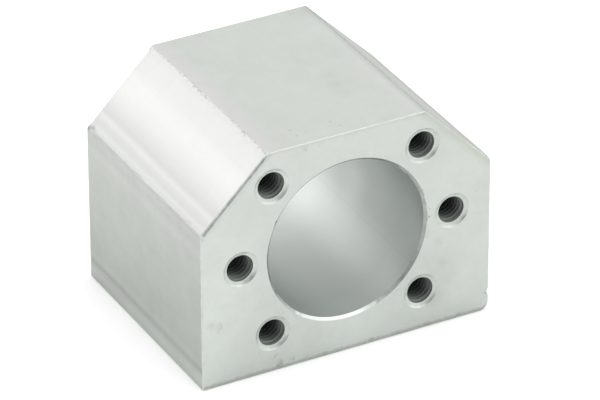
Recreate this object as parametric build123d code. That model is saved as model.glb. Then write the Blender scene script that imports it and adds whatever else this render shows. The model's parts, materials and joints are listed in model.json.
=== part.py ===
from build123d import *
from math import radians, tan
import os

# Housing for the nut of a ball screw: one piece of aluminium extrusion, cut to length, with both
# ends milled, then bored for the nut's body and tapped for its flange screws and for the screws
# that pull the housing down onto a moving table.
#
# Frame, in millimetres: the origin is the centre of the base face. +X runs across the housing,
# +Y along the bore from the flange face to the back face, and +Z up from the base.

# Extruded section
width = 52.0
height = 40.0
axis_height = 20.5  # base face to bore axis
shoulder_height = 28.2  # base face to the lower edge of each sloping shoulder
crown_width = 28.3  # flat top between the two shoulders
foot_radius = 1.6  # right-hand foot, as the die leaves it
reference_foot_radius = 0.3  # left-hand foot, on the side that is set against a stop
shoulder_radius = 0.9
crown_radius = 0.9

# Groove that the die leaves along the right-hand side
groove_height = 3.15  # base face to the bottom of the vee
groove_depth = 0.3
groove_mouth = 1.3
groove_skew = 0.1  # the vee's bottom lies this much above the middle of its mouth

# Milled ends
length = 40.0
end_break = 0.2  # chamfer round both milled faces

# Seat for the nut
bore_diameter = 28.0
bore_chamfer = 0.35

# Screw threads, M5 coarse, in every tapped hole
thread_diameter = 5.0
thread_pitch = 0.8
countersink_diameter = 6.0
countersink_angle = 120.0
drill_point_angle = 118.0

# Six flange screws round the bore, three on each side
flange_circle = 38.0
flange_hole_angles = (0.0, 45.0, 135.0, 180.0, 225.0, 315.0)
flange_drill_depth = 15.0

# Four table screws up into the base
table_pitch_across = 40.0
table_pitch_along = 24.0
table_drill_depth = 12.0

# Each cutter starts this far outside the face that it cuts
cutter_lead = 1.0

# The usual tapping drill leaves a hole as wide as the thread less one pitch
tap_drill_radius = (thread_diameter - thread_pitch) / 2
countersink_width = countersink_diameter / 2 - tap_drill_radius
countersink_depth = countersink_width / tan(radians(countersink_angle / 2))


def corners_at(sketch, level):
    """The corners of a sketch that lie at one height above the base, from left to right."""
    corners = [v for v in sketch.vertices() if abs(v.Z - level) < 1e-6]
    return sorted(corners, key=lambda v: v.X)


def section():
    """The die's section in the XZ plane: a flat foot, upright sides and two sloping shoulders."""
    side = width / 2
    crown = crown_width / 2
    outline = Plane.XZ * Polyline(
        (-side, 0),
        (side, 0),
        (side, shoulder_height),
        (crown, height),
        (-crown, height),
        (-side, shoulder_height),
        close=True,
    )
    sketch = make_face(outline)
    sketch = fillet(corners_at(sketch, 0)[0], reference_foot_radius)
    sketch = fillet(corners_at(sketch, 0)[-1], foot_radius)
    sketch = fillet(corners_at(sketch, shoulder_height), shoulder_radius)
    sketch = fillet(corners_at(sketch, height), crown_radius)
    return sketch


def groove_section():
    """The vee in the right-hand side, open to the outside."""
    side = width / 2
    middle = groove_height - groove_skew
    vee = Plane.XZ * Polyline(
        (side + cutter_lead, middle - groove_mouth / 2),
        (side, middle - groove_mouth / 2),
        (side - groove_depth, groove_height),
        (side, middle + groove_mouth / 2),
        (side + cutter_lead, middle + groove_mouth / 2),
        close=True,
    )
    return make_face(vee)


def blank():
    """The extrusion cut to length, with the sharp edge broken round both milled faces."""
    bar = extrude(section() - groove_section(), amount=length / 2, both=True)
    ends = bar.faces().filter_by(Axis.Y)
    return chamfer(ends.edges(), end_break)


def bore_cutter():
    """The nut's through bore, with a chamfer at both mouths."""
    bore = bore_diameter / 2
    mouth = bore + bore_chamfer
    end = length / 2
    outline = Polyline(
        (0, -end - cutter_lead),
        (mouth, -end - cutter_lead),
        (mouth, -end),
        (bore, -end + bore_chamfer),
        (bore, end - bore_chamfer),
        (mouth, end),
        (mouth, end + cutter_lead),
        (0, end + cutter_lead),
        close=True,
    )
    return Pos(0, 0, axis_height) * revolve(make_face(outline), Axis.Y)


def tapped_hole_cutter(drill_depth):
    """A blind tapping hole that goes down from the XY plane, with its countersink and drill point."""
    mouth = countersink_diameter / 2
    point = tap_drill_radius / tan(radians(drill_point_angle / 2))
    outline = Plane.XZ * Polyline(
        (0, cutter_lead),
        (mouth, cutter_lead),
        (mouth, 0),
        (tap_drill_radius, -countersink_depth),
        (tap_drill_radius, -drill_depth),
        (0, -drill_depth - point),
        close=True,
    )
    return revolve(make_face(outline), Axis.Z)


def flange_holes():
    """Tapped holes in the flange face, on a circle round the bore."""
    face = Plane(origin=(0, -length / 2, axis_height), x_dir=(1, 0, 0), z_dir=(0, -1, 0))
    hole = tapped_hole_cutter(flange_drill_depth)
    return [
        face * Rot(0, 0, angle) * Pos(flange_circle / 2, 0) * hole
        for angle in flange_hole_angles
    ]


def table_holes():
    """Tapped holes in the base face, at the corners of a rectangle."""
    base = Plane(origin=(0, 0, 0), x_dir=(1, 0, 0), z_dir=(0, 0, -1))
    hole = tapped_hole_cutter(table_drill_depth)
    return [
        base * place * hole
        for place in GridLocations(table_pitch_across, table_pitch_along, 2, 2)
    ]


def housing():
    body = blank() - bore_cutter()
    for cutter in flange_holes() + table_holes():
        body -= cutter
    return body


os.makedirs("parts", exist_ok=True)
export_step(housing(), "parts/nut_housing.step")
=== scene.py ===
import json
import math

import bmesh
import bpy
import numpy as np
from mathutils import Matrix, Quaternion, Vector
from mathutils.geometry import delaunay_2d_cdt


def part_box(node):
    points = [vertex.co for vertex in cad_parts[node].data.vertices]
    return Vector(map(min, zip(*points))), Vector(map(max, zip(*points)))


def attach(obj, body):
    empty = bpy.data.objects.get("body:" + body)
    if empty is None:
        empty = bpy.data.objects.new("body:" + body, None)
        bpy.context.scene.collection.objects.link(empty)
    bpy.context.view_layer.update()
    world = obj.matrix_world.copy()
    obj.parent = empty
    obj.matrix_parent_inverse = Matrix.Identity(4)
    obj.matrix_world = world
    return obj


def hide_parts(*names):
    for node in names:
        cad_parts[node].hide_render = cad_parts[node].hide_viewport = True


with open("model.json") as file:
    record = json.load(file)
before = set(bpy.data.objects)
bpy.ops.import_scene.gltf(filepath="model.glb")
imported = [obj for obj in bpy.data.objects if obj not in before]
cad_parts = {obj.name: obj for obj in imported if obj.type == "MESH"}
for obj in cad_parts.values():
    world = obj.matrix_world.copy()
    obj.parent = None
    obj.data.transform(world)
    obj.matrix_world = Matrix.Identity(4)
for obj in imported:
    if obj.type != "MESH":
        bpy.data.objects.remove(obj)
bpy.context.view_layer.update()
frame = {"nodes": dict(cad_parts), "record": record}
print("frame loaded:", sorted(frame["nodes"]))

mm = 0.001  # sizes are written in millimetres, and Blender works in metres

# The frame gives the block's size and the places of the bore and the screws
mounts = {m["name"]: m for m in frame["record"]["mounts"]}
lowCorner, highCorner = (np.array(corner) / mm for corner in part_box("nut_housing"))
width, length, height = highCorner - lowCorner
front, back = -length / 2, length / 2
axisHeight = mounts["nut_bore"]["pos_m"][2] / mm
boreRadius = mounts["nut_bore"]["dims"]["r_mm"]
screwCircle = mounts["nut_bolts_level"]["dims"]["spacing_x_mm"] / 2
tablePitch = np.array([mounts["table_bolts"]["dims"][f"spacing_{way}_mm"] for way in "xy"])
flangeAngles = np.radians([0, 45, 135, 180, 225, 315])

# The housing: everything about its shape, wear and finish that one may want to change
block = dict(
    section=dict(
        shoulderHeight=28.2,    # base to the lower edge of a sloping shoulder
        crownHalf=14.15,        # half of the flat top
        footRadius=(1.6, 0.3),  # right and left: the left side is the one set against a stop
        shoulderRadius=0.9,
        crownRadius=0.9,
        grooveHeight=3.45,      # base to the bottom of the vee along each side
        grooveDepth=(0.3, 0.06),    # right and left
        grooveMouth=1.3,
        grooveSkew=0.1,         # its bottom lies this much above the middle of its mouth
        lipRadius=0.3,
        leastRadius=0.02,       # no corner is drawn in to a smaller radius
        arcSteps=10,            # steps round each corner
        sideStep=0.6,           # longest step across a flat
        lengthStep=0.4,         # longest step along the block
    ),
    ends=dict(
        radius=0.2,             # both milled ends have their sharp edge rubbed off
        onSlopes=(0.9, 2.5),    # share of that radius along the right and the left shoulder
        onCrown=0.6,            # and along the crown
        blends=(0.5, 0.6),      # those shares blend over this height at the shoulder and the crown
        steps=4,
        wander=0.3,             # share by which that radius wanders
        reach=0.5,              # over about this length of edge
        sunk=0.12,              # the slopes dip by this much at both ends
        sunkReach=0.8,          # and the dip fades over about this length
    ),
    wear=dict(
        skinDepth=0.01,         # how far the skin's slow waves reach inwards
        skinReach=(6.0, 1.2),   # their size along and across the block
        edgeDepth=0.09,         # small dents along the crown's and the shoulders' edges
        edgeReach=(0.5, 0.35),
        edgeWidth=0.8,          # and how far from the edges they lie
        dents=[                 # place, size and depth of the larger knocks
            ((-25.8, 18.6, 28.3), 0.45, 0.3), ((-26.0, -19.3, 26.6), 0.35, 0.18),
            ((-14.2, -19.6, 40.0), 0.4, 0.16), ((-14.6, -7.5, 39.9), 0.5, 0.12),
            ((14.4, -19.4, 40.0), 0.5, 0.16), ((25.9, 12.0, 28.2), 0.5, 0.2),
            ((-15.0, 8.0, 39.6), 0.4, 0.14), ((14.7, 17.5, 39.8), 0.4, 0.16),
        ],
    ),
    bore=dict(
        chamfer=0.42,           # width and depth at both mouths
        around=240,             # points round the bore
        step=0.8,               # longest step along the wall
        rimWander=0.03,         # the chamfer widens and narrows by this much
        rimReach=4,             # over about this many points
        nicks=[                 # angle, width in degrees and depth of the pits at the front rim
            (18, 0.8, 0.22), (10, 0.7, 0.18), (3.5, 0.8, 0.2), (-1, 0.7, 0.25),
            (152, 0.9, 0.3), (230, 1.0, 0.25), (236, 0.8, 0.2), (292, 0.8, 0.15),
        ],
    ),
    tapping=dict(
        pitch=0.8,
        drill=2.1,              # radius of the tapping drill
        major=2.5,              # radius at the bottom of the thread
        bevel=(0.28, 0.25),     # width and depth of the bevel round the mouth
        countersink=2.8,        # radius inside that bevel
        countersinkAngle=150.0,
        throat=2.34,            # radius where the countersink ends
        leadIn=1.2,             # the thread grows to its full form over this length
        runOut=1.2,             # and fades out over this one
        point=118.0,            # drill point angle
        phases=(0.0, 0.25, 0.40, 0.5625, 0.6875, 0.84),     # rows in one turn, in pitches
        flanks=(0.25, 0.5625, 0.6875),  # in pitches: the cut starts, is at its deepest, and ends
        flange=dict(threaded=12.0, drilled=15.0, around=56),
        table=dict(threaded=9.6, drilled=12.0, around=40),
    ),
    joining=dict(
        mergeReach=0.0005,      # points of two patches that lie this near become one
        sharpAngle=28.0,        # edges that turn by more degrees stay sharp
    ),
    skin=dict(
        colour="#DADFD9",
        rubbed="#DCDCDA",       # painted highlight tint: paler and less green where the skin is brightest
        roughness=(0.37, 0.47),     # least and most
        # four patterns, by how many of their marks fit in a millimetre
        lines=(1.3, 0.08),      # die lines, across and along: 0.05 mm wide, drawn 0.7 mm wide to show
        clouds=0.16,
        grain=3.2,              # blasting leaves 0.1 mm dimples, drawn 0.3 mm wide to show
        rags=1.5,
        # die marks along the block, and painted shade low on the side, along the groove and at the foot:
        # millimetres round the section from a shoulder's lower edge (down the side below zero), share of
        # the colour, share of the highlight tint
        bands=[
            (-28.2, 0.90, 0.0), (-27.6, 0.91, 0.0), (-26.9, 0.98, 0.0), (-26.1, 0.96, 0.0),
            (-25.6, 0.92, 0.0), (-25.0, 0.77, 0.0), (-24.5, 0.75, 0.0), (-24.1, 0.83, 0.0),
            (-23.6, 0.87, 0.0), (-22.0, 0.835, 0.0), (-14.0, 0.825, 0.0), (-5.0, 0.86, 0.0),
            (-3.6, 0.91, 0.3), (-2.0, 0.86, 0.4), (-0.8, 0.89, 0.5),
            (0.6, 0.80, 0.8), (1.0, 0.87, 0.8), (1.7, 0.79, 0.8), (2.6, 0.84, 0.9),
            (3.0, 0.90, 0.9), (3.4, 0.87, 0.9), (3.9, 0.79, 0.9), (6.6, 0.92, 0.9),
            (9.0, 0.98, 1.0), (11.0, 0.98, 1.0), (12.4, 0.93, 1.0), (15.0, 0.92, 1.0),
            (16.5, 0.88, 1.0), (17.0, 0.99, 0.9), (18.8, 0.96, 0.7), (20.6, 0.93, 0.1),
            (31.0, 0.94, 0.0),
        ],
        lineShade=(0.07, 0.04),     # how much the die lines shade the sides, and the rest
        cloudShade=(0.26, 0.17),    # and how much the clouds do
        uneven=0.4,             # the bands' borders are uneven by this much
        ragged=(14.5, 16.3, 0.9),   # and ragged from here, fully from here, and by this much
        # chips beside the crown's edge, where noise is above start, and darkest above full
        chips=dict(place=16.6, reach=0.6, perMm=1.3, start=0.58, full=0.68, strength=0.22),
        tones=[                 # painted shade in broad patches: place, radius and strength
            ((-26, 21, 0), 17.0, -0.14), ((14, 19, 40), 6.0, -0.1),
        ],
        smudgePull=(1.5, 1.0),  # waves in a millimetre, and how far they pull the outlines about
        smudges=[
            ((6.4, -2.5, 40), 2.4, 0.035), ((6.0, -5.5, 40), 2.6, 0.045), ((5.5, -8.5, 40), 2.4, 0.04),
            ((-25.9, 19.6, 28.2), 0.7, 0.5),
            ((-0.7, -15.6, 40), 0.35, 0.3), ((0.1, -17.5, 40), 0.3, 0.3), ((-7.4, -17.1, 40), 0.3, 0.25),
            ((-5.8, -16.9, 40), 0.3, 0.25), ((-7.6, -15.2, 40), 0.3, 0.25), ((-6, 18.9, 40), 0.4, 0.3),
        ],
        # painted shade, a little greener, over the crown's right-hand edge and the slope beyond it: x,
        # tint
        rightEdge=[(10.0, "#FFFFFF"), (12.9, "#FCFFFD"), (13.8, "#F0F3F1"), (14.6, "#E3E8E2")],
        relief=0.004,           # depth of lines and grain
    ),
    milling=dict(
        colour="#DCE1DC",
        # the grey of handling marks, which also paints shade along the foot
        dirt="#8F948E",
        roughness=(0.37, 0.47),
        mottle=0.22,            # marks in a millimetre, and so is the grain
        grain=3.2,
        cutterCentre=(-70.0, 0.0, -25.0),   # the face mill's arcs are drawn round this point
        advance=0.5,            # the mill advances 0.2 mm a turn, drawn 0.5 mm apart to show
        mottleShade=0.2,
        relief=0.002,           # depth of grain
        arcShare=0.6,           # and of the arcs, as a share of it
        tones=[                 # painted light and shade in broad patches: place, radius and strength
            ((-26, -20, 16), 20.0, 0.09), ((0, -20, 5), 9.0, 0.11), ((-10, -20, 6), 7.0, 0.04),
            ((16, -20, 10), 7.0, -0.06), ((16, -20, 5), 3.0, -0.07), ((25, -20, 3), 4.0, -0.04),
            ((14, -20, 34), 8.0, -0.04), ((26, -20, 24), 9.0, -0.03), ((6, -20, 3), 10.0, 0.05),
            ((-24, -20, 4), 6.0, 0.04),
        ],
        rimPull=(1.8, 0.8),     # waves in a millimetre, and how far they pull the painted edge shade about
        rims=[                  # painted shade along the edges: way from an edge, its place along that way, reach and tint there
            ((0, 0, 1), 0.3, 0.8, "#DBDBDB"),   # the foot: painted shade where the face meets the table
            ((-0.7071, 0, 0.7071), -17.7, 0.6, "#D0D3CC"),      # its right corner
            ((0.7056, 0, -0.7086), -38.1, 0.9, "#EAECE8"),      # the left and the right shoulder
            ((-0.7056, 0, -0.7086), -38.3, 2.0, "#EFF0E8"),
            ((0, 0, -1), -39.9, 0.8, "#F7F7F4"),    # the crown
        ],
        specks=dict(perMm=1.3, start=0.72, full=0.80, strength=0.18),
        smudgePull=(0.9, 2.0),
        smudges=[               # place, radius and strength
            ((-24.3, -20, 11.7), 1.2, 0.2), ((-22.9, -20, 10.9), 1.0, 0.2),
            ((-10.0, -20, 1.5), 0.7, 0.5), ((-12.2, -20, 0.9), 0.8, 0.45), ((-12.4, -20, 1.3), 0.5, 0.4),
            ((-13.0, -20, 2.8), 0.5, 0.35), ((14.7, -20, 17.5), 1.0, 0.1), ((23.9, -20, 18.7), 0.7, 0.12),
            ((16.6, -20, 15.2), 1.4, 0.12), ((17.5, -20, 11.2), 1.2, 0.1),
            ((-8.9, -20, 9.3), 0.8, 0.4), ((-7.5, -20, 38.8), 0.6, 0.3),
            ((-4.8, -20, 39.0), 0.5, 0.3), ((25.6, -20, 3.5), 0.5, 0.6),
            # these two rows darken the foot: partly dirt, partly painted shade where the face meets the
            # table
            ((4.4, -20, 0.6), 0.8, 0.4), ((14.7, -20, 0.6), 0.8, 0.4), ((9.2, -20, 0.5), 0.7, 0.35),
            ((-4.2, -20, 0.5), 0.7, 0.35), ((-17.5, -20, 0.5), 0.7, 0.3), ((20.4, -20, 0.6), 0.7, 0.35),
            ((14.7, -20, 21.9), 0.5, 0.6), ((14.6, -20, 20.4), 0.5, 0.6), ((13.5, -20, 25.7), 0.5, 0.6),
        ],
    ),
    boring=dict(
        colour="#CBCFCC",
        roughness=(0.40, 0.50),
        clouds=0.2,             # in a millimetre
        cloudShade=0.05,
        tones=[                 # painted light and shade along the bore: millimetres from the flange face, share of the colour
            (0, 1.14), (2, 1.13), (6, 1.03), (12, 0.99), (18, 0.97), (24, 1.0), (30, 1.12), (40, 1.12),
        ],
        spots=[                 # painted light and shade on parts of the wall: place, radius and strength
            ((13.9, -20, 21.7), 6.0, -0.12), ((11.5, -20, 12.5), 6.0, -0.12), ((13.4, 2, 16.2), 5.0, 0.12),
        ],
        dragAngle=326.5,        # where the boring bar left its line on the way out
        dragWidth=0.12,         # from the line's middle to where it fades out
        dragShade=0.07,
        feed=0.25,              # the bar advances 0.1 mm a turn, drawn 0.25 mm apart
        relief=0.003,           # depth of the rings
    ),
    thread=dict(
        mouth="#9A9F9B",
        deep="#6C706E",
        fade=(0.35, 3.5),       # painted shade: the thread darkens from the first depth to the second
        metallic=0.35,          # oil and dirt cover the rest of the metal
        roughness=0.55,
    ),
    edge=dict(
        colour="#E2E8E2",
        roughness=(0.31, 0.61),
        smootherBore=0.1,       # the bore's chamfer was turned, so it is smoother by this much
        boreReach=1.0,          # the chamfer lies less than this outside the bore
        patches=0.9,            # in a millimetre
        patchShade=(0.72, 1.22),    # least and most
        backShade=0.7,          # painted shade on the edge round the back face
        tones=[                 # painted shade in a broad patch: place, radius and strength
            ((20, -20, 34), 9.0, -0.06),
        ],
        boreTones=[             # painted light and shade on the bore's chamfer alone: place, radius and strength
            ((14.2, -20, 18), 9.0, -0.4), ((13, -20, 26.6), 7.0, -0.28), ((7.5, -20, 8.4), 3.2, 0.42),
        ],
    ),
)
slots = dict(skin=0, milled=1, bored=2, tapped=3, broken=4)     # each finish's number in the mesh
smooth = dict(interpolation_type="SMOOTHSTEP")  # for a change that starts and ends gently

random = np.random.default_rng(28)
apart = 0.01    # a reach of nothing, at which neighbouring rows wander each on its own


def wander(shape, reach):
    # Random numbers smoothed in every direction by a bell curve as wide as the reach, from -1 to 1
    waves = np.meshgrid(*[2 * np.pi * np.fft.fftfreq(n) for n in shape], indexing="ij")
    bell = np.exp(-0.5 * sum((wave * far) ** 2 for wave, far in zip(waves, reach)))
    field = np.fft.ifftn(np.fft.fftn(random.standard_normal(shape)) * bell).real
    return field / np.abs(field).max()


def unit(vectors):
    # Each vector divided by its own length
    return vectors / np.linalg.norm(vectors, axis=-1, keepdims=True)


def sectionCorners():
    # The section's corners in the XZ plane and their radii, up the right side and down the left
    s = block["section"]
    half, middle = width / 2, s["grooveHeight"] - s["grooveSkew"]
    right, left = (
        np.array([
            (half, 0, footRadius),
            (half, middle - s["grooveMouth"] / 2, s["lipRadius"]),
            (half - grooveDepth, s["grooveHeight"], s["lipRadius"]),
            (half, middle + s["grooveMouth"] / 2, s["lipRadius"]),
            (half, s["shoulderHeight"], s["shoulderRadius"]),
            (s["crownHalf"], height, s["crownRadius"]),
        ])
        for footRadius, grooveDepth in zip(s["footRadius"], s["grooveDepth"])
    )
    both = np.concatenate([right, left[::-1] * (-1, 1, 1)])
    return both[:, :2], both[:, 2]


def sectionArcs(inset):
    # Point = centre - radius * normal, and the normal turns evenly from one side's to the next's.
    # Each centre lies inset + radius in from both sides; an inner corner's radius is below zero.
    s = block["section"]
    corners, radii = sectionCorners()
    ahead = unit(np.roll(corners, -1, axis=0) - corners)
    behind = np.roll(ahead, 1, axis=0)
    inAhead = np.stack([-ahead[:, 1], ahead[:, 0]], axis=1)
    inBehind = np.roll(inAhead, 1, axis=0)
    turn = np.arctan2((inBehind * ahead).sum(1), (behind * ahead).sum(1))
    radius = np.where(turn > 0, np.maximum(radii - inset, s["leastRadius"]), -radii - inset)
    mitre = (inBehind + inAhead) / (1 + (inBehind * inAhead).sum(1, keepdims=True))
    centre = corners + mitre * (inset + radius)[:, None]
    angle = (turn[:, None] * np.linspace(0, 1, s["arcSteps"] + 1))[..., None]
    normal = np.cos(angle) * inBehind[:, None] - np.sin(angle) * behind[:, None]
    return centre[:, None] - radius[:, None, None] * normal, normal


def withSides(arcs, counts):
    # Each arc is followed by equal steps along the flat to the next arc
    nextStart = np.roll(arcs[:, 0], -1, axis=0)
    runs = []
    for arc, end, count in zip(arcs, nextStart, counts):
        share = np.linspace(0, 1, count + 1)[1:-1, None]
        runs += [arc, arc[-1] * (1 - share) + end * share]
    return np.concatenate(runs)


def gridQuads(rows, columns, closed=False):
    # Point numbers of the quads of a grid that was filled row after row
    number = np.arange(rows * columns).reshape(rows, columns)
    if closed:
        number = np.concatenate([number, number[:, :1]], axis=1)
    return np.stack([number[:-1, :-1], number[:-1, 1:], number[1:, 1:], number[1:, :-1]], axis=2)


def fillFlat(outer, holes):
    # Constrained Delaunay triangles inside an outer loop and outside its holes, in one plane. A
    # triangle is in a hole where its middle is nearer to the hole's centre than the rim is.
    loops = [outer] + [rim for rim, centre in holes]
    first = np.cumsum([0] + [len(loop) for loop in loops])
    edges = [
        np.stack([np.arange(len(loop)), np.roll(np.arange(len(loop)), -1)], axis=1) + start
        for loop, start in zip(loops, first)
    ]
    points, _, faces, *_ = delaunay_2d_cdt(
        np.concatenate(loops).tolist(), np.concatenate(edges).tolist(), [], 1, 1e-7
    )
    points, faces = np.array(points), np.array(faces)
    middle = points[faces].mean(axis=1)
    outside = np.ones(len(faces), bool)
    for rim, centre in holes:
        edge, place = rim - centre, middle - centre
        edgeAngle, placeAngle = (np.arctan2(part[:, 1], part[:, 0]) for part in (edge, place))
        reach = np.interp(placeAngle, edgeAngle, np.linalg.norm(edge, axis=1), period=2 * np.pi)
        outside &= np.linalg.norm(place, axis=1) > reach
    return points, faces[outside]


def skinPatches(boreRims, flangeRims, tableRims):
    # Point = section point + relief * inward normal, in rows along Y. At both ends the rows follow
    # a quarter circle of radius r: r * (1 - sin t) in from the flat end, drawn in by r * (1 - cos t),
    # times a share that wanders and differs between side, slope and crown. Relief = slow waves +
    # small dents near the long edges + a bell curve at each large dent + the slopes' dip at the
    # ends, which fades as exp(-distance from the end / reach).
    s, ends, wear = block["section"], block["ends"], block["wear"]
    arcs, normals = sectionArcs(0)
    gaps = np.linalg.norm(np.roll(arcs[:, 0], -1, axis=0) - arcs[:, -1], axis=1)
    counts = np.ceil(gaps / s["sideStep"]).astype(int)
    full, inward = withSides(arcs, counts), unit(withSides(normals, counts))
    columns, baseStart = len(full), len(full) - counts[-1]

    t = np.linspace(np.pi / 2, 0, ends["steps"] + 1)
    fromEnd = ends["radius"] * (1 - np.sin(t))
    insets = ends["radius"] * (1 - np.cos(t))
    drawnIn = np.stack([withSides(sectionArcs(inset)[0], counts) - full for inset in insets])
    flat = length - 2 * ends["radius"]
    inner = np.linspace(front, back, int(flat / s["lengthStep"]) + 1)[1:-1]
    rowStep, columnStep = inner[1] - inner[0], np.linalg.norm(np.diff(full, axis=0), axis=1).mean()
    spread = 1 + ends["wander"] * wander((2, columns), (apart, ends["reach"] / columnStep))
    shoulder, (atShoulder, atCrown) = s["shoulderHeight"], ends["blends"]
    levels = shoulder - atShoulder, shoulder + atShoulder, height - atCrown, height
    onSlope = np.interp(full[:, 1], levels, (0, 1, 1, 0))
    spread *= 1 + (np.where(full[:, 0] > 0, *ends["onSlopes"]) - 1) * onSlope
    spread *= 1 + (ends["onCrown"] - 1) * np.interp(full[:, 1], levels, (0, 0, 0, 1))

    frontRows, backRows = fromEnd[:, None] * spread[0], fromEnd[::-1, None] * spread[1]
    y = np.concatenate([front + frontRows, np.repeat(inner[:, None], columns, axis=1), back - backRows])
    xz = np.repeat(full[None], len(y), axis=0)
    steps = ends["steps"]
    xz[:steps + 1] += drawnIn * spread[0][:, None]
    xz[-steps - 1:] += drawnIn[::-1] * spread[1][:, None]
    rows = len(y)

    slow, quick = (
        wander((rows, columns), (reach[0] / rowStep, reach[1] / columnStep))
        for reach in (wear["skinReach"], wear["edgeReach"])
    )
    toCorners = [
        np.hypot(np.abs(full[:, 0]) - x, full[:, 1] - z)
        for x, z in ((s["crownHalf"], height), (width / 2, s["shoulderHeight"]))
    ]
    onEdge = np.exp(-(np.minimum(*toCorners) / wear["edgeWidth"]) ** 2)
    relief = wear["skinDepth"] * (slow + 1) / 2 + wear["edgeDepth"] * np.maximum(quick, 0) * onEdge
    points = np.stack([xz[..., 0], y, xz[..., 1]], axis=2)
    for place, size, depth in wear["dents"]:
        relief += depth * np.exp(-((points - place) ** 2).sum(axis=2) / size ** 2)
    toEnd = np.minimum(points[..., 1] - front, back - points[..., 1])
    relief += ends["sunk"] * np.exp(-toEnd / ends["sunkReach"]) * onSlope
    relief *= full[:, 1] > 0.001    # the base stays flat
    points[..., [0, 2]] += relief[..., None] * inward

    # the skin without the base, and the rounded edges of both ends
    quads = gridQuads(rows, columns, closed=True)
    keep = np.ones(quads.shape[:2], bool)
    keep[steps:-steps, baseStart:] = False
    rounded = np.zeros_like(keep)
    rounded[:steps] = rounded[-steps:] = True
    flatPoints = points.reshape(-1, 3)
    patches = [
        (flatPoints, quads[keep & ~rounded], slots["skin"]),
        (flatPoints, quads[keep & rounded], slots["broken"]),
    ]

    # the two milled faces, and then the base
    for row, rims in ((0, boreRims[:1] + flangeRims), (-1, boreRims[1:])):
        holes = [(rim[:, [0, 2]], centre) for rim, centre in rims]
        found, faces = fillFlat(points[row][:, [0, 2]], holes)
        level = np.full(len(found), (front, back)[row])
        patches.append((np.stack([found[:, 0], level, found[:, 1]], axis=1), faces, slots["milled"]))
    base, top, bottom = np.r_[baseStart:columns, 0], steps, rows - 1 - steps
    loop = np.concatenate([
        points[top, base],
        points[top + 1:bottom, 0],
        points[bottom, base[::-1]],
        points[bottom - 1:top:-1, baseStart],
    ])
    found, faces = fillFlat(loop[:, :2], [(rim[:, :2], centre) for rim, centre in tableRims])
    patches.append((np.column_stack([found, np.zeros(len(found))]), faces, slots["milled"]))
    return patches


def borePatches():
    # Point = axis + radius * (cos angle, sin angle). The radius grows by the chamfer at both mouths,
    # where it wanders, and by a bell curve at each nick of the front rim.
    bore = block["bore"]
    inner = np.linspace(front + bore["chamfer"], back - bore["chamfer"], int(length / bore["step"]))
    y = np.concatenate([[front], inner, [back]])
    angle = np.arange(bore["around"]) * 2 * np.pi / bore["around"]
    radius = np.full((len(y), bore["around"]), boreRadius)
    wavy = wander((2, bore["around"]), (apart, bore["rimReach"]))
    radius[[0, -1]] += bore["chamfer"] + bore["rimWander"] * wavy
    for place, spread, depth in bore["nicks"]:
        away = (np.degrees(angle) - place + 180) % 360 - 180
        radius[0] += depth * np.exp(-(away / spread) ** 2)
    points = np.stack([
        radius * np.cos(angle),
        np.repeat(y[:, None], bore["around"], axis=1),
        axisHeight + radius * np.sin(angle),
    ], axis=2)
    quads = gridQuads(*radius.shape, closed=True)
    flatPoints = points.reshape(-1, 3)
    centre = np.array([0, axisHeight])
    rims = [(points[0], centre), (points[-1], centre)]
    walls, chamfers = quads[1:-1].reshape(-1, 4), quads[[0, -1]].reshape(-1, 4)
    return [(flatPoints, walls, slots["bored"]), (flatPoints, chamfers, slots["broken"])], rims


def tappedPatches(hole, centre, across, up, outward, start):
    # Rows follow the helix: depth = row's depth - pitch * share of the turn, held between the throat
    # and the thread's end. Radius = drill + (major - drill) * ridge, and the ridge is a trapezium of
    # the phase that grows from the throat's plain ring and fades at the end. The bevel's two rings
    # come first, and the drilled end and its point last.
    hole = dict(block["tapping"], **hole)
    pitch = hole["pitch"]
    turns = math.ceil(hole["threaded"] / pitch) + 2
    rowDepth = (np.arange(turns)[:, None] + np.array(hole["phases"])).ravel() * pitch
    share = np.linspace(0, 1, hole["around"] + 1)[:, None]
    bevelWidth, bevelDepth = hole["bevel"]
    slope = math.tan(math.radians(hole["countersinkAngle"] / 2))
    throatDepth = bevelDepth + (hole["countersink"] - hole["throat"]) / slope
    depth = np.clip(throatDepth + rowDepth - pitch * share, throatDepth, hole["threaded"])
    phase = (depth / pitch + share) % 1
    ridge = np.interp(phase, (0, *hole["flanks"], 1), (0, 0, 1, 1, 0))
    plain = (hole["throat"] - hole["drill"]) / (hole["major"] - hole["drill"])
    grown = np.clip((depth - throatDepth) / hole["leadIn"], 0, 1)
    fade = np.clip((hole["threaded"] - depth) / hole["runOut"], 0, 1)
    ridge = (plain + (ridge - plain) * grown) * fade
    radius = hole["drill"] + (hole["major"] - hole["drill"]) * ridge
    tip = hole["drilled"] + hole["drill"] / math.tan(math.radians(hole["point"] / 2))
    ring = np.ones_like(share)
    depth = np.concatenate([
        ring * 0, ring * bevelDepth, depth, ring * hole["drilled"], ring * tip,
    ], axis=1)
    radius = np.concatenate([
        ring * (hole["countersink"] + bevelWidth), ring * hole["countersink"],
        radius, ring * hole["drill"], ring * 0,
    ], axis=1)
    angle = start + 2 * np.pi * share
    points = (
        np.array(centre)
        + (radius * np.cos(angle))[..., None] * across
        + (radius * np.sin(angle))[..., None] * up
        - depth[..., None] * outward
    )
    quads = gridQuads(*depth.shape)
    mouth, thread = quads[:, :2].reshape(-1, 4), quads[:, 2:].reshape(-1, 4)
    flatPoints = points.reshape(-1, 3)
    patches = [(flatPoints, thread, slots["tapped"]), (flatPoints, mouth, slots["broken"])]
    return patches, points[:-1, 0]


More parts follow.
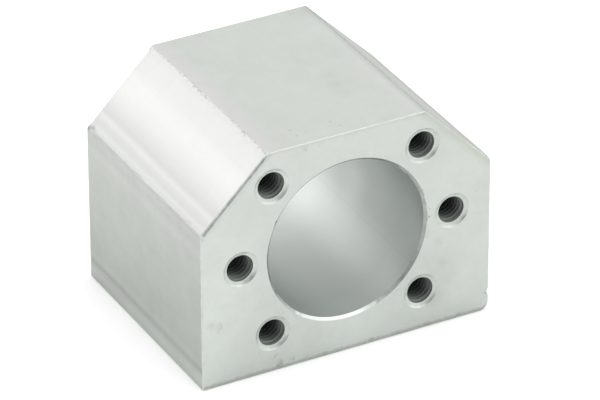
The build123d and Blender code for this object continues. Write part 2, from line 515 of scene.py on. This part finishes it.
def fromShoulder(points):
    # Millimetres round the section from a shoulder's lower edge: z above that edge on the side,
    # then along the slope, and then in from the crown's edge
    s = block["section"]
    slope = np.array([width / 2 - s["crownHalf"], height - s["shoulderHeight"]])
    inFromSide, above = width / 2 - np.abs(points[:, 0]), points[:, 2] - s["shoulderHeight"]
    onSlope = (np.stack([inFromSide, above], axis=1) @ slope) / np.linalg.norm(slope)
    onCrown = np.linalg.norm(slope) + inFromSide - slope[0]
    return np.where(inFromSide > slope[0], onCrown, np.where(above < 0, above, onSlope))


def joinPatches(name, patches, materials):
    # One closed mesh: equal points of neighbouring patches become one, and faces turn outwards
    first = np.cumsum([0] + [len(points) for points, faces, slot in patches])
    faces = [face for (_, part, _), start in zip(patches, first) for face in (part + start).tolist()]
    numbers = np.concatenate([np.full(len(part), slot) for _, part, slot in patches])
    mesh = bpy.data.meshes.new(name)
    mesh.from_pydata((np.concatenate([points for points, *_ in patches]) * mm).tolist(), [], faces)
    mesh.polygons.foreach_set("material_index", numbers.astype(np.int32))
    joining = block["joining"]
    body = bmesh.new()
    body.from_mesh(mesh)
    bmesh.ops.remove_doubles(body, verts=body.verts, dist=joining["mergeReach"] * mm)
    bmesh.ops.delete(body, geom=[v for v in body.verts if not v.link_faces], context="VERTS")
    bmesh.ops.recalc_face_normals(body, faces=body.faces)
    openEdges = sum(not edge.is_manifold for edge in body.edges)
    body.to_mesh(mesh)
    body.free()

    numbers = np.empty(len(mesh.polygons), np.int32)
    mesh.polygons.foreach_get("material_index", numbers)
    mesh.polygons.foreach_set("use_smooth", numbers != slots["milled"])     # milled faces stay flat
    mesh.set_sharp_from_angle(angle=math.radians(joining["sharpAngle"]))
    places = np.empty(len(mesh.vertices) * 3)
    mesh.vertices.foreach_get("co", places)
    around = mesh.attributes.new("fromShoulder", "FLOAT", "POINT")
    around.data.foreach_set("value", fromShoulder(places.reshape(-1, 3) / mm))
    for material in materials:
        mesh.materials.append(material)
    piece = bpy.data.objects.new(name, mesh)
    bpy.context.scene.collection.objects.link(piece)
    triangles = sum(len(p.vertices) - 2 for p in mesh.polygons)
    print(f"{name}: {triangles} triangles, {openEdges} open edges")
    return piece


def linear(hexColour):
    # sRGB hex to linear: c / 12.92 below 0.04045, and ((c + 0.055) / 1.055) ^ 2.4 above
    c = np.array([int(hexColour[i:i + 2], 16) / 255 for i in (1, 3, 5)])
    return (*np.where(c <= 0.04045, c / 12.92, ((c + 0.055) / 1.055) ** 2.4), 1.0)


def fillSockets(tree, node, sockets):
    # Each socket takes a value, or a link from another node's first output or from a given output
    for name, value in sockets.items():
        if isinstance(value, bpy.types.Node):
            value = value.outputs[0]
        if isinstance(value, bpy.types.NodeSocket):
            tree.links.new(value, node.inputs[name])
        else:
            node.inputs[name].default_value = value


def addNode(tree, kind, sockets=None, stops=(), **settings):
    # Adds a node with its settings, its ramp's stops, and its sockets' values and links
    made = tree.nodes.new("ShaderNode" + kind)
    for name, value in settings.items():
        setattr(made, name, value)
    if stops:
        ramp = made.color_ramp.elements
        while len(ramp) < len(stops):
            ramp.new(1.0)
        for element, (place, colour) in zip(ramp, stops):
            element.position = place
            element.color = colour
    fillSockets(tree, made, sockets or {})
    return made


def newMaterial(name):
    # A material with its node tree, its shader, and a point's place in Object coordinates
    material = bpy.data.materials.new(name)
    material.use_nodes = True
    tree = material.node_tree
    return material, tree, tree.nodes["Principled BSDF"], addNode(tree, "TexCoord").outputs["Object"]


def pulledAbout(tree, place, perMm, far):
    # Place + (noise - half) * far: so many waves in a millimetre pull it about by up to half of far
    noise = addNode(tree, "TexNoise", {"Vector": place, "Scale": perMm / mm, "Detail": 3.0})
    centred = addNode(tree, "VectorMath", {
        0: noise.outputs["Color"], 1: (0.5,) * 3,
    }, operation="SUBTRACT")
    return addNode(tree, "VectorMath", {
        0: centred, 1: (far * mm,) * 3, 2: place,
    }, operation="MULTIPLY_ADD")


def softSpots(tree, place, spots, operation, start):
    # Spots that fade smoothly to nothing at their radius, added up or the strongest taken
    for spot, reach, strength in spots:
        centre = [c * mm for c in spot]
        away = addNode(tree, "VectorMath", {0: place, 1: centre}, operation="DISTANCE")
        mark = addNode(tree, "MapRange", {
            "Value": away.outputs["Value"], "From Max": reach * mm, "To Min": strength, "To Max": 0.0,
        }, **smooth)
        start = addNode(tree, "Math", {0: mark, 1: start}, operation=operation)
    return start


def finishMetal(tree, shader, look, colour, pattern, relief):
    # Metal of this colour: roughness = least + (most - least) * pattern, and the relief is bump
    least, most = look["roughness"]
    rough = addNode(tree, "Math", {0: pattern, 1: most - least, 2: least}, operation="MULTIPLY_ADD")
    bump = addNode(tree, "Bump", {"Height": relief, "Distance": look["relief"] * mm})
    fillSockets(tree, shader, {
        "Metallic": 1.0, "Base Color": colour, "Roughness": rough, "Normal": bump,
    })


def anodisedExtrusion():
    # Extruded aluminium, blasted and clear anodised: satin, pale green-grey, with fine die lines
    # along the block, bands of die marks and painted shade round the section, a paler painted
    # highlight tint where the shoulders are brightest, painted shade over the right slope and in
    # broad patches, and small chips beside the crown's edges
    look = block["skin"]
    material, tree, shader, place = newMaterial("anodised_extrusion")
    lineScale = [look["lines"][way] / mm for way in (0, 1, 0)]
    alongBlock = addNode(tree, "Mapping", {"Vector": place, "Scale": lineScale})
    lines = addNode(tree, "TexNoise", {"Vector": alongBlock, "Scale": 1.0, "Detail": 4.0})
    clouds = addNode(tree, "TexNoise", {
        "Vector": place, "Scale": look["clouds"] / mm, "Detail": 5.0, "Roughness": 0.78,
    })
    grain = addNode(tree, "TexNoise", {"Vector": place, "Scale": look["grain"] / mm, "Detail": 2.0})

    # the bands' borders are a little uneven everywhere, and ragged on the crown
    exact = addNode(tree, "Attribute", attribute_name="fromShoulder").outputs["Fac"]
    uneven, (start, end, ragged) = look["uneven"], look["ragged"]
    unevenly = addNode(tree, "Math", {0: grain, 1: 2 * uneven, 2: -uneven}, operation="MULTIPLY_ADD")
    rags = addNode(tree, "TexNoise", {"Vector": place, "Scale": look["rags"] / mm, "Detail": 2.0})
    rags = addNode(tree, "Math", {0: rags, 1: 2 * ragged, 2: -ragged}, operation="MULTIPLY_ADD")
    onCrown = addNode(tree, "MapRange", {"Value": exact, "From Min": start, "From Max": end}, **smooth)
    rags = addNode(tree, "Math", {0: rags, 1: onCrown}, operation="MULTIPLY")
    around = addNode(tree, "Math", {0: exact, 1: unevenly}, operation="ADD")
    around = addNode(tree, "Math", {0: around, 1: rags}, operation="ADD")
    # the bands hold die marks and painted shade round the section
    low, high = look["bands"][0][0], look["bands"][-1][0]
    share = addNode(tree, "MapRange", {"Value": around, "From Min": low, "From Max": high})
    # painted highlight: the bands mix in a paler, less green tint where the skin is brightest
    anodised, rubbed = np.array(linear(look["colour"])), np.array(linear(look["rubbed"]))
    tone = addNode(tree, "ValToRGB", {"Fac": share}, stops=[
        ((far - low) / (high - low), (anodised + (rubbed - anodised) * highlit) * shade)
        for far, shade, highlit in look["bands"]
    ])
    # painted shade over the crown's right-hand edge and the right slope
    x = addNode(tree, "SeparateXYZ", {0: place}).outputs["X"]
    start, end = look["rightEdge"][0][0], look["rightEdge"][-1][0]
    across = addNode(tree, "MapRange", {"Value": x, "From Min": start * mm, "From Max": end * mm})
    right = addNode(tree, "ValToRGB", {"Fac": across}, stops=[
        ((far - start) / (end - start), linear(tint)) for far, tint in look["rightEdge"]
    ])

    # lines and clouds are stronger on the sides than above the shoulder's lower edge
    shades = []
    for pattern, (onSides, above) in ((lines, look["lineShade"]), (clouds, look["cloudShade"])):
        centred = addNode(tree, "Math", {0: pattern, 1: -0.5}, operation="ADD")
        strength = addNode(tree, "MapRange", {
            "Value": exact, "From Min": -1.0, "From Max": 1.0, "To Min": onSides, "To Max": above,
        }, **smooth)
        shades.append(addNode(tree, "Math", {0: centred, 1: strength, 2: 1.0}, operation="MULTIPLY_ADD"))
    # painted shade in broad patches
    shades.append(softSpots(tree, place, look["tones"], "ADD", 1.0))
    chips = look["chips"]
    beside = addNode(tree, "Math", {0: exact, 1: -chips["place"]}, operation="ADD")
    beside = addNode(tree, "Math", {0: beside}, operation="ABSOLUTE")
    nearEdge = addNode(tree, "MapRange", {
        "Value": beside, "From Max": chips["reach"], "To Min": 1.0, "To Max": 0.0,
    }, **smooth)
    broken = addNode(tree, "TexNoise", {"Vector": place, "Scale": chips["perMm"] / mm, "Detail": 1.0})
    broken = addNode(tree, "MapRange", {
        "Value": broken, "From Min": chips["start"], "From Max": chips["full"],
        "To Max": chips["strength"],
    }, **smooth)
    chipped = addNode(tree, "Math", {0: broken, 1: nearEdge}, operation="MULTIPLY")
    pulled = pulledAbout(tree, place, *look["smudgePull"])
    for marks in (chipped, softSpots(tree, pulled, look["smudges"], "MAXIMUM", 0.0)):
        shades.append(addNode(tree, "Math", {0: 1.0, 1: marks}, operation="SUBTRACT"))
    shade = shades[0]
    for other in shades[1:]:
        shade = addNode(tree, "Math", {0: shade, 1: other}, operation="MULTIPLY")
    colour = addNode(tree, "VectorMath", {0: tone, "Scale": shade}, operation="SCALE")
    colour = addNode(tree, "VectorMath", {0: colour, 1: right}, operation="MULTIPLY")

    relief = addNode(tree, "Math", {0: lines, 1: grain}, operation="ADD")
    finishMetal(tree, shader, look, colour, clouds, relief)
    return material


def anodisedMilling():
    # Face-milled, blasted and anodised aluminium: flat satin, faintly mottled, with the cutter's
    # arcs just showing, painted light and shade in broad patches, painted shade along its edges
    # and foot, and a few grey handling marks
    look = block["milling"]
    material, tree, shader, place = newMaterial("anodised_milling")
    mottle = addNode(tree, "TexNoise", {
        "Vector": place, "Scale": look["mottle"] / mm, "Detail": 5.0, "Roughness": 0.76,
    })
    grain = addNode(tree, "TexNoise", {"Vector": place, "Scale": look["grain"] / mm, "Detail": 2.0})
    centre = [c * mm for c in look["cutterCentre"]]
    radius = addNode(tree, "VectorMath", {0: place, 1: centre}, operation="DISTANCE").outputs["Value"]
    arcs = addNode(tree, "TexNoise", {
        "W": radius, "Scale": 1 / (look["advance"] * mm), "Detail": 1.0,
    }, noise_dimensions="1D")

    shade = addNode(tree, "Math", {
        0: mottle, 1: look["mottleShade"], 2: 1 - look["mottleShade"] / 2,
    }, operation="MULTIPLY_ADD")
    # painted light and shade in broad patches
    tones = softSpots(tree, place, look["tones"], "ADD", 1.0)
    shade = addNode(tree, "Math", {0: shade, 1: tones}, operation="MULTIPLY")
    clean = addNode(tree, "VectorMath", {
        0: linear(look["colour"])[:3], "Scale": shade,
    }, operation="SCALE")
    # painted shade along the face's edges and its foot
    wobbled = pulledAbout(tree, place, *look["rimPull"])
    for way, start, reach, tint in look["rims"]:
        inwards = addNode(tree, "VectorMath", {0: wobbled, 1: way}, operation="DOT_PRODUCT")
        near = addNode(tree, "MapRange", {
            "Value": inwards.outputs["Value"], "From Min": start * mm, "From Max": (start + reach) * mm,
            "To Min": 1.0, "To Max": 0.0,
        }, **smooth)
        clean = addNode(tree, "Mix", {
            0: near, 6: clean, 7: linear(tint),
        }, data_type="RGBA", blend_type="MULTIPLY").outputs[2]

    # each smudge is a soft spot whose outline the noise pulls about; those along the foot are partly
    # painted shade
    pulled, specks = pulledAbout(tree, place, *look["smudgePull"]), look["specks"]
    dirt = softSpots(tree, pulled, look["smudges"], "MAXIMUM", 0.0)
    speckled = addNode(tree, "TexNoise", {"Vector": place, "Scale": specks["perMm"] / mm, "Detail": 1.0})
    speckled = addNode(tree, "MapRange", {
        "Value": speckled, "From Min": specks["start"], "From Max": specks["full"],
        "To Max": specks["strength"],
    })
    dirt = addNode(tree, "Math", {0: speckled, 1: dirt}, operation="MAXIMUM")
    colour = addNode(tree, "Mix", {0: dirt, 6: clean, 7: linear(look["dirt"])}, data_type="RGBA")

    relief = addNode(tree, "Math", {0: arcs, 1: look["arcShare"], 2: grain}, operation="MULTIPLY_ADD")
    finishMetal(tree, shader, look, colour.outputs[2], mottle, relief)
    return material


def anodisedBore():
    # Bored and anodised aluminium: duller than the outside, with the tool's fine rings round the
    # wall, which spread the light along the bore, one line where the bar was drawn out, and
    # painted light and shade along its depth and in a few spots
    look = block["boring"]
    material, tree, shader, place = newMaterial("anodised_bore")
    y = addNode(tree, "SeparateXYZ", {0: place}).outputs["Y"]
    rings = addNode(tree, "TexNoise", {
        "W": y, "Scale": 1 / (look["feed"] * mm), "Detail": 1.0,
    }, noise_dimensions="1D")
    clouds = addNode(tree, "TexNoise", {"Vector": place, "Scale": look["clouds"] / mm, "Detail": 3.0})

    # the line lies where the way across it is nil and the way towards it is positive
    angle = math.radians(look["dragAngle"])
    fromAxis = addNode(tree, "VectorMath", {0: place, 1: (0, 0, axisHeight * mm)}, operation="SUBTRACT")
    across, towards = (
        addNode(tree, "VectorMath", {0: fromAxis, 1: way}, operation="DOT_PRODUCT").outputs["Value"]
        for way in ((-math.sin(angle), 0, math.cos(angle)), (math.cos(angle), 0, math.sin(angle)))
    )
    beside = addNode(tree, "Math", {0: across}, operation="ABSOLUTE")
    line = addNode(tree, "MapRange", {
        "Value": beside, "From Max": look["dragWidth"] * mm, "To Min": look["dragShade"], "To Max": 0.0,
    })
    facing = addNode(tree, "Math", {0: towards, 1: 0.0}, operation="GREATER_THAN")
    line = addNode(tree, "Math", {0: line, 1: facing}, operation="MULTIPLY")
    clouded = addNode(tree, "Math", {
        0: clouds, 1: look["cloudShade"], 2: 1 - look["cloudShade"] / 2,
    }, operation="MULTIPLY_ADD")
    shade = addNode(tree, "Math", {0: clouded, 1: line}, operation="SUBTRACT")
    # painted light and shade: the bore's colour changes with depth
    along = addNode(tree, "MapRange", {"Value": y, "From Min": front * mm, "From Max": back * mm})
    fromFace = addNode(tree, "ValToRGB", {"Fac": along}, stops=[
        (depth / length, (share, share, share, 1.0)) for depth, share in look["tones"]
    ])
    # painted light and shade in a few soft spots of the wall
    for other in (fromFace, softSpots(tree, place, look["spots"], "ADD", 1.0)):
        shade = addNode(tree, "Math", {0: shade, 1: other}, operation="MULTIPLY")
    colour = addNode(tree, "VectorMath", {
        0: linear(look["colour"])[:3], "Scale": shade,
    }, operation="SCALE")

    finishMetal(tree, shader, look, colour, rings, rings)
    return material


def tappedThread():
    # Thread cut into the metal: paler at the mouth and darker below, painted shade deeper in the hole
    look = block["thread"]
    material, tree, shader, place = newMaterial("tapped_thread")
    ways = addNode(tree, "SeparateXYZ", {0: place}).outputs
    fromFront = addNode(tree, "Math", {0: ways["Y"], 1: -front * mm}, operation="ADD")
    depth = addNode(tree, "Math", {0: fromFront, 1: ways["Z"]}, operation="MINIMUM")
    start, end = look["fade"]
    # painted shade that deepens into the hole
    share = addNode(tree, "MapRange", {"Value": depth, "From Max": end * mm})
    tone = addNode(tree, "ValToRGB", {"Fac": share}, stops=[
        (start / end, linear(look["mouth"])), (1.0, linear(look["deep"])),
    ])
    fillSockets(tree, shader, {
        "Metallic": look["metallic"], "Roughness": look["roughness"], "Base Color": tone,
    })
    return material


def brokenEdge():
    # Edges that a deburring tool went over before anodising, and the turned chamfer of the bore:
    # patchy, smoother and a little lighter than the faces beside them, with painted shade round the
    # back face and on part of the right shoulder's edge, and painted light and shade on the bore's
    # chamfer
    look = block["edge"]
    material, tree, shader, place = newMaterial("broken_edge")
    patchy = addNode(tree, "TexNoise", {"Vector": place, "Scale": look["patches"] / mm, "Detail": 3.0})
    least, most = look["patchShade"]
    shade = addNode(tree, "Math", {0: patchy, 1: most - least, 2: least}, operation="MULTIPLY_ADD")
    y = addNode(tree, "SeparateXYZ", {0: place}).outputs["Y"]
    # painted shade on the edge round the back face
    atBack = addNode(tree, "MapRange", {
        "Value": y, "From Min": (back - 2 * block["ends"]["radius"]) * mm, "From Max": back * mm,
        "To Min": 1.0, "To Max": look["backShade"],
    }, **smooth)
    flat = addNode(tree, "VectorMath", {0: place, 1: (1, 0, 1)}, operation="MULTIPLY")
    away = addNode(tree, "VectorMath", {0: flat, 1: (0, 0, axisHeight * mm)}, operation="DISTANCE")
    atBore = addNode(tree, "Math", {
        0: away.outputs["Value"], 1: (boreRadius + look["boreReach"]) * mm,
    }, operation="LESS_THAN")
    # painted light and shade on the bore's chamfer alone
    boreShading = softSpots(tree, place, look["boreTones"], "ADD", 0.0)
    boreShading = addNode(tree, "Math", {0: boreShading, 1: atBore, 2: 1.0}, operation="MULTIPLY_ADD")
    # painted shade on the back edge and on part of the right shoulder's edge
    for other in (atBack, boreShading, softSpots(tree, place, look["tones"], "ADD", 1.0)):
        shade = addNode(tree, "Math", {0: shade, 1: other}, operation="MULTIPLY")
    colour = addNode(tree, "VectorMath", {
        0: linear(look["colour"])[:3], "Scale": shade,
    }, operation="SCALE")

    least, most = look["roughness"]
    rough = addNode(tree, "Math", {0: patchy, 1: most - least, 2: least}, operation="MULTIPLY_ADD")
    rough = addNode(tree, "Math", {
        0: atBore, 1: -look["smootherBore"], 2: rough,
    }, operation="MULTIPLY_ADD")
    fillSockets(tree, shader, {"Metallic": 1.0, "Base Color": colour, "Roughness": rough})
    return material


boreParts, boreRims = borePatches()
outX, outY, outZ = np.eye(3)
flangeCentres = np.stack([
    screwCircle * np.cos(flangeAngles),
    np.full(len(flangeAngles), front),
    axisHeight + screwCircle * np.sin(flangeAngles),
], axis=1)
tableCentres = np.array([(x, y, 0) for x in (-0.5, 0.5) for y in (-0.5, 0.5)]) * (*tablePitch, 0)
holeParts, flangeRims, tableRims = [], [], []
for kind, centres, up, outward, rims, plane in (
    ("flange", flangeCentres, outZ, -outY, flangeRims, [0, 2]),
    ("table", tableCentres, -outY, -outZ, tableRims, [0, 1]),
):
    # each thread starts at an angle of its own
    for centre, start in zip(centres, random.uniform(0, 6, len(centres))):
        parts, rim = tappedPatches(block["tapping"][kind], centre, outX, up, outward, start)
        holeParts += parts
        rims.append((rim, centre[plane]))
patches = skinPatches(boreRims, flangeRims, tableRims) + boreParts + holeParts
print("surfaces worked out:", len(patches), "patches")
materials = [anodisedExtrusion(), anodisedMilling(), anodisedBore(), tappedThread(), brokenEdge()]
print("finishes made:", ", ".join(material.name for material in materials))
housing = joinPatches("housing_block", patches, materials)
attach(housing, "root")
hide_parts("nut_housing")

studio = dict(
    floorSize=6000,
    floorDrop=0.02,         # the table lies this far below the block
    floorColour="#F0F0F0",
    floorShown=0.37,        # what the white table gives to the camera by itself
    floorReflected=0.08,    # and to reflections
    skyLight=1.0,
    horizonLight=0.6,       # the tent is darker where its wall meets the table
    horizonReach=0.4,       # sine of the angle up at which the light is the sky's
    openingWay=(-0.41, -0.76, 0.5),     # the tent's opening, on the camera's side
    openingLight=0.2,
    openingReach=(0.70, 0.93),  # cosines of the angles from its middle at which it starts and is full
    gapShade=0.12,          # painted shade: how much darker the table is right against the block
    gapReach=3.0,
    gapSamples=8,
    # name, way from the block, distance, size and brightness of each softbox
    boxes=[
        ("back_left_box", (-0.5, 0.765, 0.4065), 900, 700, 0.6),
        ("overhead_box", (0.25, -0.35, 0.9), 900, 800, 0.9),
        ("right_box", (0.85, -0.3, 0.45), 900, 500, 0.5),
    ],
)


def makeFloor():
    # A white table: a matt surface that also glows a little by itself to the camera and in
    # reflections, and painted shade makes both darker right against the block
    half, level = studio["floorSize"] / 2 * mm, -studio["floorDrop"] * mm
    mesh = bpy.data.meshes.new("floor")
    corners = [(x * half, y * half, level) for x, y in ((-1, -1), (1, -1), (1, 1), (-1, 1))]
    mesh.from_pydata(corners, [], [(0, 1, 2, 3)])
    floor = bpy.data.objects.new("floor", mesh)
    bpy.context.scene.collection.objects.link(floor)
    material, tree, *_ = newMaterial("white_table")
    tree.nodes.clear()
    path = addNode(tree, "LightPath").outputs
    seen = addNode(tree, "Math", {
        0: path["Is Camera Ray"], 1: path["Is Transmission Ray"],
    }, operation="ADD", use_clamp=True)
    seen = addNode(tree, "Math", {0: seen, 1: studio["floorShown"]}, operation="MULTIPLY")
    glow = addNode(tree, "Math", {
        0: path["Is Glossy Ray"], 1: studio["floorReflected"], 2: seen,
    }, operation="MULTIPLY_ADD")
    # painted shade right against the block, from an occlusion node
    unhidden = addNode(tree, "AmbientOcclusion", {
        "Distance": studio["gapReach"] * mm,
    }, samples=studio["gapSamples"]).outputs["AO"]
    lit = addNode(tree, "Math", {
        0: unhidden, 1: studio["gapShade"], 2: 1 - studio["gapShade"],
    }, operation="MULTIPLY_ADD")
    glow = addNode(tree, "Math", {0: glow, 1: lit}, operation="MULTIPLY")
    colour = addNode(tree, "VectorMath", {
        0: linear(studio["floorColour"])[:3], "Scale": lit,
    }, operation="SCALE")
    light = addNode(tree, "Emission", {"Strength": glow})
    matt = addNode(tree, "BsdfDiffuse", {"Color": colour})
    both = addNode(tree, "AddShader", {0: light, 1: matt})
    addNode(tree, "OutputMaterial", {"Surface": both})
    mesh.materials.append(material)


def makeWorld():
    # A light tent, which the camera sees as plain white: horizon light that rises smoothly to sky
    # light, times a share that falls smoothly to the opening's
    world = bpy.data.worlds.new("light_tent")
    bpy.context.scene.world = world
    world.use_nodes = True
    tree = world.node_tree
    tree.nodes.clear()
    way = addNode(tree, "TexCoord").outputs["Generated"]
    up = addNode(tree, "SeparateXYZ", {0: way}).outputs["Z"]
    sky = addNode(tree, "MapRange", {
        "Value": up, "From Max": studio["horizonReach"],
        "To Min": studio["horizonLight"], "To Max": studio["skyLight"],
    }, **smooth)
    opening = unit(np.array(studio["openingWay"]))
    toOpening = addNode(tree, "VectorMath", {0: way, 1: opening}, operation="DOT_PRODUCT")
    start, full = studio["openingReach"]
    dark = addNode(tree, "MapRange", {
        "Value": toOpening.outputs["Value"], "From Min": start, "From Max": full,
        "To Min": 1.0, "To Max": studio["openingLight"],
    }, **smooth)
    light = addNode(tree, "Math", {0: sky, 1: dark}, operation="MULTIPLY")
    toCamera = addNode(tree, "LightPath").outputs["Is Camera Ray"]
    light = addNode(tree, "Mix", {0: toCamera, 2: light, 3: 1.0})
    glow = addNode(tree, "Background", {"Color": (1, 1, 1, 1), "Strength": light})
    addNode(tree, "OutputWorld", {"Surface": glow})


def addLamp(name, way, distance, size, glow):
    # A square softbox that faces the block. Its power is brightness * pi * area.
    lamp = bpy.data.lights.new(name, "AREA")
    lamp.size = size * mm
    lamp.energy = glow * math.pi * (size * mm) ** 2
    holder = bpy.data.objects.new(name, lamp)
    toLamp = Vector(way).normalized()
    holder.location = Vector((0, 0, height / 2 * mm)) + toLamp * distance * mm
    holder.rotation_euler = toLamp.to_track_quat("Z", "Y").to_euler()
    bpy.context.scene.collection.objects.link(holder)


makeFloor()
makeWorld()
for box in studio["boxes"]:
    addLamp(*box)

view = dict(
    lens=300.5,
    place=(-327.1, -614.4, 426.1),
    target=(1.21, -1.89, 18.08),
    roll=-0.17,             # degrees
)
lens = bpy.data.cameras.new("camera")
lens.lens = view["lens"]
camera = bpy.data.objects.new("camera", lens)
bpy.context.scene.collection.objects.link(camera)
camera.location = Vector(view["place"]) * mm
look = Vector(view["target"]) - Vector(view["place"])
turn = look.to_track_quat("-Z", "Y") @ Quaternion((0, 0, 1), math.radians(view["roll"]))
camera.rotation_euler = turn.to_euler()
bpy.context.scene.camera = camera
bpy.context.scene.view_settings.view_transform = "Standard"
print("camera, lamps and floor set")
